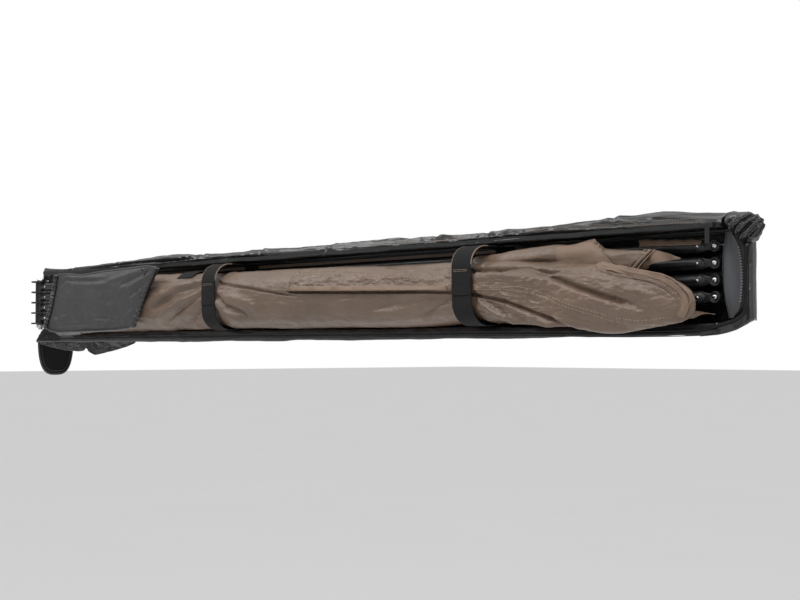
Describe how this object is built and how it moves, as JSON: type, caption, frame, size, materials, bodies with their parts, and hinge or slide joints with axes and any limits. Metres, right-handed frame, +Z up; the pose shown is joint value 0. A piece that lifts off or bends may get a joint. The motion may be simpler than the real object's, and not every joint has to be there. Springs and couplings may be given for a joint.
{
  "type": "vehicle side awning",
  "caption": "Fold-out fan awning stowed in an opened zip bag, with hinged arms on a rear hub, telescopic drop legs, a rolled canopy and roof-rack brackets.",
  "frame": {"origin": "middle of the backboard's rear face, where it lies against the rack side", "axes": "+X towards the vehicle's front, -Y outward from the vehicle, +Z up"},
  "size_m": [2.325, 0.2468, 0.2996],
  "materials": {
    "powder_coat": "black powder coat, satin, fine texture",
    "zinc_steel": "bright zinc plate",
    "black_nylon": "moulded glass-filled nylon, fine grain",
    "foot_rubber": "black moulded rubber",
    "bag_vinyl": "coated PVC cloth, wet-look gloss, creased",
    "bag_lining": "grey cloth backing of the coated PVC",
    "canopy_cloth": "taupe ripstop polyester cotton, slight sheen",
    "webbing": "woven black polypropylene webbing",
    "pouch_cloth": "dark grey coated nylon"
  },
  "bodies": {
    "root": {"backboard": "powder_coat", "mount_bracket_rear": "powder_coat", "bracket_bolt_rear": "zinc_steel", "mount_bracket_front": "powder_coat", "bracket_bolt_front": "zinc_steel", "hub_bracket": "powder_coat", "hub_pin": "zinc_steel", "hub_nut": "zinc_steel", "bag_tray": "bag_vinyl", "bag_front_end": "bag_vinyl", "front_gusset": "bag_lining"},
    "arm_1": {"arm_1_knuckle": "powder_coat", "arm_1_tube": "powder_coat", "arm_1_tip": "black_nylon", "leg_1_pivot_bolt": "zinc_steel", "canopy_hem": "canopy_cloth"},
    "arm_2": {"arm_2_knuckle": "powder_coat", "arm_2_tube": "powder_coat", "arm_2_tip": "black_nylon", "leg_2_pivot_bolt": "zinc_steel"},
    "arm_3": {"arm_3_knuckle": "powder_coat", "arm_3_tube": "powder_coat", "arm_3_tip": "black_nylon", "leg_3_pivot_bolt": "zinc_steel"},
    "arm_4": {"arm_4_knuckle": "powder_coat", "arm_4_tube": "powder_coat", "arm_4_tip": "black_nylon", "leg_4_pivot_bolt": "zinc_steel", "canopy_roll": "canopy_cloth", "canopy_lower_fold": "canopy_cloth", "canopy_upper_fold": "canopy_cloth", "strap_rear": "webbing", "strap_front": "webbing", "strap_tab": "webbing", "peg_pouch": "pouch_cloth"},
    "leg_1": {"leg_1_eye": "black_nylon", "leg_1_outer_tube": "powder_coat"},
    "collar_1": {"leg_1_lock_collar": "black_nylon"},
    "inner_1": {"leg_1_inner_tube": "powder_coat", "leg_1_foot": "foot_rubber"},
    "leg_2": {"leg_2_eye": "black_nylon", "leg_2_outer_tube": "powder_coat"},
    "collar_2": {"leg_2_lock_collar": "black_nylon"},
    "inner_2": {"leg_2_inner_tube": "powder_coat", "leg_2_foot": "foot_rubber"},
    "leg_3": {"leg_3_eye": "black_nylon", "leg_3_outer_tube": "powder_coat"},
    "collar_3": {"leg_3_lock_collar": "black_nylon"},
    "inner_3": {"leg_3_inner_tube": "powder_coat", "leg_3_foot": "foot_rubber"},
    "leg_4": {"leg_4_eye": "black_nylon", "leg_4_outer_tube": "powder_coat"},
    "collar_4": {"leg_4_lock_collar": "black_nylon"},
    "inner_4": {"leg_4_inner_tube": "powder_coat", "leg_4_foot": "foot_rubber"},
    "cover": {"bag_cover": "bag_vinyl", "cover_zip_track": "black_nylon", "cover_end_bunch": "bag_vinyl"},
    "slider": {"zip_slider": "zinc_steel"},
    "end_cap": {"rear_end_cap": "bag_vinyl"}
  },
  "joints": [
    {"name": "arm_1_swing", "type": "hinge", "parent": "root", "child": "arm_1", "pos_m": [-1.15, -0.064, 0], "axis": [0, 0, -1], "range_deg": [0, 67.5], "deforming": ["canopy_roll", "canopy_lower_fold", "canopy_upper_fold", "strap_rear", "strap_front", "strap_tab"]},
    {"name": "arm_2_swing", "type": "hinge", "parent": "arm_1", "child": "arm_2", "pos_m": [-1.15, -0.064, 0], "axis": [0, 0, -1], "range_deg": [0, 67.5]},
    {"name": "arm_3_swing", "type": "hinge", "parent": "arm_2", "child": "arm_3", "pos_m": [-1.15, -0.064, 0], "axis": [0, 0, -1], "range_deg": [0, 67.5]},
    {"name": "arm_4_swing", "type": "hinge", "parent": "arm_3", "child": "arm_4", "pos_m": [-1.15, -0.064, 0], "axis": [0, 0, -1], "range_deg": [0, 67.5]},
    {"name": "leg_1_drop", "type": "hinge", "parent": "arm_1", "child": "leg_1", "pos_m": [1.055, -0.0375, 0.0405], "axis": [0, -1, 0], "range_deg": [0, 90]},
    {"name": "leg_1_extend", "type": "slide", "parent": "leg_1", "child": "inner_1", "axis": [-1, 0, 0], "range_m": [0, 0.86]},
    {"name": "leg_1_lock_twist", "type": "hinge", "parent": "leg_1", "child": "collar_1", "pos_m": [0.055, -0.0375, 0.0405], "axis": [1, 0, 0], "range_deg": [0, 90]},
    {"name": "leg_2_drop", "type": "hinge", "parent": "arm_2", "child": "leg_2", "pos_m": [1.055, -0.0375, 0.0125], "axis": [0, -1, 0], "range_deg": [0, 90]},
    {"name": "leg_2_extend", "type": "slide", "parent": "leg_2", "child": "inner_2", "axis": [-1, 0, 0], "range_m": [0, 0.86]},
    {"name": "leg_2_lock_twist", "type": "hinge", "parent": "leg_2", "child": "collar_2", "pos_m": [0.055, -0.0375, 0.0125], "axis": [1, 0, 0], "range_deg": [0, 90]},
    {"name": "leg_3_drop", "type": "hinge", "parent": "arm_3", "child": "leg_3", "pos_m": [1.055, -0.0375, -0.0155], "axis": [0, -1, 0], "range_deg": [0, 90]},
    {"name": "leg_3_extend", "type": "slide", "parent": "leg_3", "child": "inner_3", "axis": [-1, 0, 0], "range_m": [0, 0.86]},
    {"name": "leg_3_lock_twist", "type": "hinge", "parent": "leg_3", "child": "collar_3", "pos_m": [0.055, -0.0375, -0.0155], "axis": [1, 0, 0], "range_deg": [0, 90]},
    {"name": "leg_4_drop", "type": "hinge", "parent": "arm_4", "child": "leg_4", "pos_m": [1.055, -0.0375, -0.0435], "axis": [0, -1, 0], "range_deg": [0, 90]},
    {"name": "leg_4_extend", "type": "slide", "parent": "leg_4", "child": "inner_4", "axis": [-1, 0, 0], "range_m": [0, 0.86]},
    {"name": "leg_4_lock_twist", "type": "hinge", "parent": "leg_4", "child": "collar_4", "pos_m": [0.055, -0.0375, -0.0435], "axis": [1, 0, 0], "range_deg": [0, 90]},
    {"name": "cover_lift", "type": "hinge", "parent": "root", "child": "cover", "pos_m": [0, 0, 0.0757], "axis": [-1, 0, 0], "range_deg": [0, 100]},
    {"name": "zip_travel", "type": "slide", "parent": "cover", "child": "slider", "axis": [-1, 0, 0], "range_m": [0, 2]},
    {"name": "end_cap_fold", "type": "hinge", "parent": "root", "child": "end_cap", "pos_m": [-1.0852, -0.053, -0.0886], "axis": [0, 1, 0], "range_deg": [0, 80]}
  ],
  "couplings": [
    {"joint": "arm_2_swing", "follows": "arm_1_swing", "ratio": 1},
    {"joint": "arm_3_swing", "follows": "arm_1_swing", "ratio": 1},
    {"joint": "arm_4_swing", "follows": "arm_1_swing", "ratio": 1},
    {"joint": "leg_1_drop", "follows": "arm_1_swing", "ratio": 1.3333},
    {"joint": "leg_2_drop", "follows": "arm_1_swing", "ratio": 1.3333},
    {"joint": "leg_3_drop", "follows": "arm_1_swing", "ratio": 1.3333},
    {"joint": "leg_4_drop", "follows": "arm_1_swing", "ratio": 1.3333}
  ]
}
